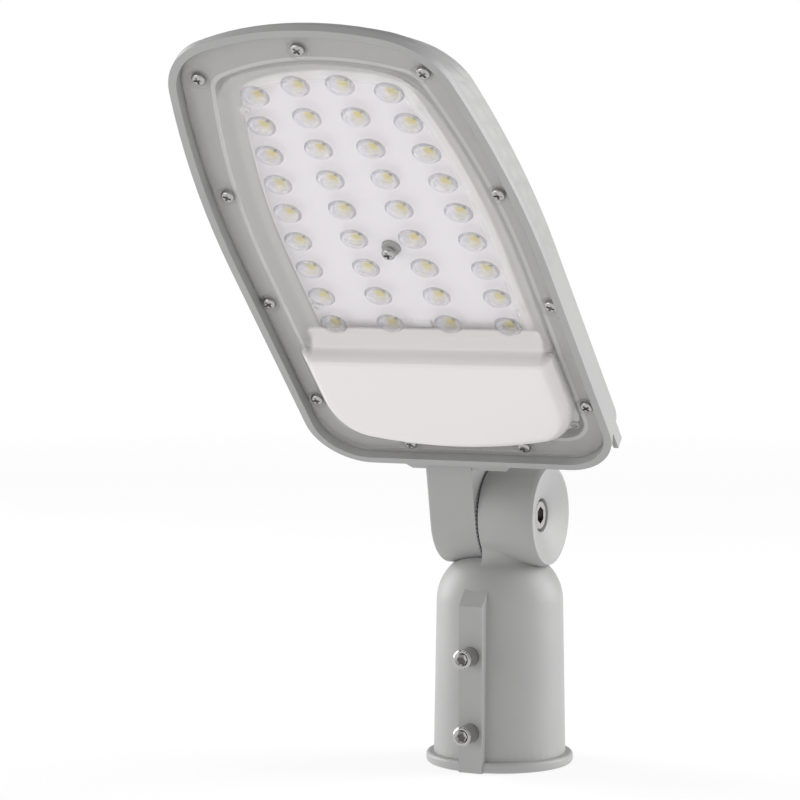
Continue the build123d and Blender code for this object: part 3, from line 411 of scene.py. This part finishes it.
def buildCover():
    c, s, m = coverShape, screwRecess, ejectorMark
    rows = coverRows(c)
    u = np.linspace(-1, 1, c["columns"] + 1)
    x = rows[:, 1:2] * u[None, :]
    y = np.repeat(rows[:, 0:1], len(u), axis=1)
    beads = [smallRing(sx, sy, c["rimZ"] + s["beadUp"], s["beadR"], s["beadThick"]) for sx, sy in screwPlaces]
    marks = [smallRing(mx, my, c["rimZ"] - m["sink"], m["r"], m["thick"], m["steps"], m["sides"])
             for mx, my in markPlaces]
    verts, faces = joined([coverShell(x, y), *beads, *marks])
    piece = addPiece("lensCover", verts, faces, materials["clear_polycarbonate"])
    frost = np.zeros(len(piece.data.vertices), np.float32)
    frost[:x.size] = milkiness(x, y).ravel()  # only the top face is milky
    piece.data.attributes.new("frost", "FLOAT", "POINT").data.foreach_set("value", frost)
    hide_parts("lens_cover")


def ledPlaces():  # four to a row, the outer pair set back a little from the tip
    s = dict(rows=9, first=145.0, pitch=19.6625, outX=47.2, arcStart=165.0, arcR=727.0, sag=1.0, tipSag=4.4)
    places = []
    for row in range(s["rows"]):
        y = s["first"] + s["pitch"] * row
        drop = s["sag"] + s["tipSag"] * (row / (s["rows"] - 1)) ** 2
        out = s["outX"] - s["arcR"] + math.sqrt(s["arcR"] ** 2 - max(0.0, y - s["arcStart"]) ** 2)
        places += [(-out, y - drop), (-out / 3, y), (out / 3, y), (out, y - drop)]
    return places


def lensMesh(px, py, dome, hollow, rings=12, points=44, reach=0.985):  # dome over a hollow, one closed shell
    angles = np.linspace(0, 2 * math.pi, points, endpoint=False)

    def loop(s, k):  # rings of a ball's cap, from its foot up to a small flat
        foot = math.radians(s["steep"])
        t = foot * (1 - reach * k / rings)
        out, up = math.sin(t) / math.sin(foot), (math.cos(t) - math.cos(foot)) / (1 - math.cos(foot))
        return np.stack([px + s["wide"] / 2 * out * np.cos(angles), py + s["long"] / 2 * out * np.sin(angles),
                         np.full(points, s["low"] + s["rise"] * up)], 1)

    inside = [loop(hollow, k) for k in range(rings, -1, -1)]
    outside = [loop(dome, k) for k in range(rings + 1)]
    return ringMesh(inside + outside)


def buildLenses():  # oval domes, one over each light source
    dome = dict(wide=14.6, long=12.8, low=0.02, rise=3.4, steep=46)
    hollow = dict(wide=8.6, long=7.6, low=0.02, rise=1.5, steep=45)
    ahead = 1.4  # the light is thrown forward: each dome sits a little towards the tip
    verts, faces = joined([lensMesh(x, y + ahead, dome, hollow) for x, y in ledPlaces()])
    addPiece("lensDomes", verts, faces, lensPolycarbonate())


def buildDarkCornerMarks():  # dark corner mark on each light package
    s = dict(size=(1.1, 1.0), at=(1.75, 1.7), low=-3.35, high=-2.96)
    w, h = s["size"][0] / 2, s["size"][1] / 2
    parts = []
    for px, py in ledPlaces():
        x, y = px + s["at"][0], py + s["at"][1]
        corners = [(x - w, y - h), (x + w, y - h), (x + w, y + h), (x - w, y + h)]
        parts.append(ringMesh([np.array([(cx, cy, z) for cx, cy in corners]) for z in (s["low"], s["high"])]))
    verts, faces = joined(parts)
    addPiece("darkCornerMarks", verts, faces, materials["black_plastic"], smooth=False)


buildCover()
buildLenses()
buildDarkCornerMarks()
print("cover and lenses built")

# the castings' edges come soft out of the die, under the coat
castEdges = dict(widthMm={"pole_sleeve": 0.7, "housing": 0.6}, segments=3, weldMm=0.001, fromDegrees=40)
for nodeName, widthMm in castEdges["widthMm"].items():
    casting = frame["nodes"][nodeName]
    casting.modifiers.new("weld", "WELD").merge_threshold = castEdges["weldMm"] * mm
    bevel = casting.modifiers.new("castRound", "BEVEL")
    bevel.width = widthMm * mm
    bevel.segments = castEdges["segments"]
    bevel.limit_method = "ANGLE"
    bevel.angle_limit = math.radians(castEdges["fromDegrees"])
    bevel.harden_normals = True
print("castings softened")


def buildFloor():  # pale floor that brightens into the backdrop
    s = dict(size=30.0, matt=0.25, pale="F6F6F6", glow=0.82, fadeFrom=0.5, fadeTo=2.5)
    half = s["size"] / 2
    corners = [(-half, -half, 0), (half, -half, 0), (half, half, 0), (-half, half, 0)]
    mesh = bpy.data.meshes.new("floor")
    mesh.from_pydata(corners, [], [(0, 1, 2, 3)])
    floor = bpy.data.objects.new("floor", mesh)
    bpy.context.scene.collection.objects.link(floor)
    material, tree = newMaterial("paleFloor")
    place = addNode(tree, "ShaderNodeTexCoord").outputs["Object"]
    reach = addNode(tree, "ShaderNodeVectorMath", {"operation": "LENGTH"}, {0: place}).outputs["Value"]
    far = addNode(tree, "ShaderNodeMapRange", {"From Min": s["fadeFrom"], "From Max": s["fadeTo"]},
                  {"Value": reach}).outputs[0]
    matt = addNode(tree, "ShaderNodeBsdfDiffuse", {"Color": (s["matt"], s["matt"], s["matt"], 1)}).outputs[0]
    glow = addNode(tree, "ShaderNodeEmission", {"Color": hexColour(s["pale"]), "Strength": s["glow"]}).outputs[0]
    near = addNode(tree, "ShaderNodeAddShader", links={0: matt, 1: glow}).outputs[0]
    white = addNode(tree, "ShaderNodeEmission", {"Color": (1, 1, 1, 1), "Strength": 1.0}).outputs[0]
    showShader(tree, addNode(tree, "ShaderNodeMixShader", links={0: far, 1: near, 2: white}).outputs[0])
    floor.data.materials.append(material)


def turnedTo(thing, place, aim):  # put it at its place, looking at the aim
    holder = bpy.data.objects.new(thing.name, thing)
    holder.location = place
    holder.rotation_euler = (Vector(aim) - Vector(place)).to_track_quat("-Z", "Y").to_euler()
    bpy.context.scene.collection.objects.link(holder)
    return holder


def buildLights():  # three softboxes: places and sizes in metres, power in watts
    aim = (0, -0.1, 0.22)
    softboxes = {
        "rightSoftbox": dict(place=(1.3, 0.8, 0.6), size=(1.2, 1.4), watts=25),
        "leftSoftbox": dict(place=(-1.5, 0.1, 0.5), size=(1.0, 1.4), watts=21),
        "lowSoftbox": dict(place=(-0.8, -1.4, 0.12), size=(1.4, 1.0), watts=8.5),
    }
    for name, s in softboxes.items():
        light = bpy.data.lights.new(name, "AREA")
        light.shape = "RECTANGLE"
        light.size, light.size_y = s["size"]
        light.energy = s["watts"]
        turnedTo(light, s["place"], aim)


def buildWorld():
    s = dict(front=0.4, sides=0.72)  # darker ahead, brighter to both sides
    world = bpy.data.worlds.new("studio")
    world.use_nodes = True
    tree = world.node_tree
    tree.nodes.clear()
    seen = addNode(tree, "ShaderNodeLightPath").outputs["Is Camera Ray"]
    way = addNode(tree, "ShaderNodeTexCoord").outputs["Generated"]
    across = addNode(tree, "ShaderNodeSeparateXYZ", links={0: way}).outputs[0]
    aside = addNode(tree, "ShaderNodeMath", {"operation": "ABSOLUTE"}, {0: across}).outputs[0]
    fill = addNode(tree, "ShaderNodeMapRange", {3: s["front"], 4: s["sides"]}, {0: aside}).outputs[0]
    soft = addNode(tree, "ShaderNodeBackground", {"Color": (1, 1, 1, 1)}, {"Strength": fill}).outputs[0]
    white = addNode(tree, "ShaderNodeBackground", {"Color": (1, 1, 1, 1), "Strength": 1.0}).outputs[0]
    mix = addNode(tree, "ShaderNodeMixShader", links={0: seen, 1: soft, 2: white}).outputs[0]
    addNode(tree, "ShaderNodeOutputWorld", links={"Surface": mix})
    bpy.context.scene.world = world


def buildCamera():
    s = dict(place=(0.5536, -1.3177, 0.2786), aim=(-0.0479, -0.0228, 0.1922), lens=121.77, sensor=36)
    camera = bpy.data.cameras.new("camera")
    camera.lens = s["lens"]
    camera.sensor_width = s["sensor"]
    bpy.context.scene.camera = turnedTo(camera, s["place"], s["aim"])


buildFloor()
buildWorld()
buildCamera()
buildLights()
bpy.context.scene.view_settings.view_transform = "Standard"
print("stage, lights and camera placed")
